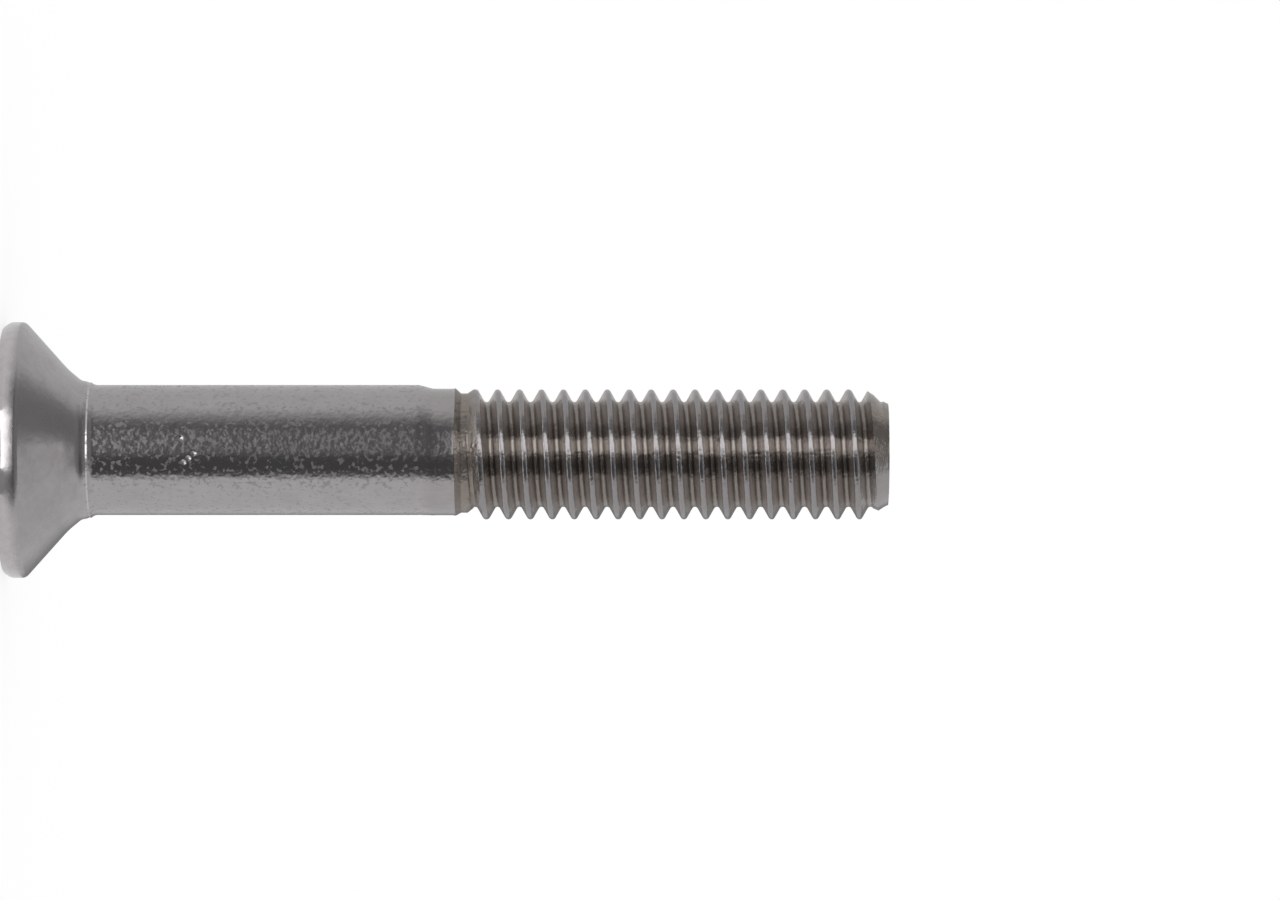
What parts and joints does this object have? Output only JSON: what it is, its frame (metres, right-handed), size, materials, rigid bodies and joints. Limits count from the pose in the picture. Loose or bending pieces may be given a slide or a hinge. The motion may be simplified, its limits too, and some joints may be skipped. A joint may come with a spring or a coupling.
{
  "type": "countersunk socket screw",
  "caption": "Countersunk machine screw with a hexagon socket in its flat head, a plain shank and a rolled right-hand thread on the other half, standing on its head.",
  "frame": {"origin": "centre of the head's flat face, on which the screw stands", "axes": "+Z along the screw's axis from the head to the threaded end; two flats of the hexagon socket face +X and -X"},
  "size_m": [0.0116, 0.0116, 0.0403],
  "materials": {
    "steel": "bare stainless steel: a matt cold-formed head and cone, a satin speckled shank, and brighter crests over darker flanks on the rolled thread"
  },
  "bodies": {
    "root": {"screw": "steel"}
  },
  "joints": []
}
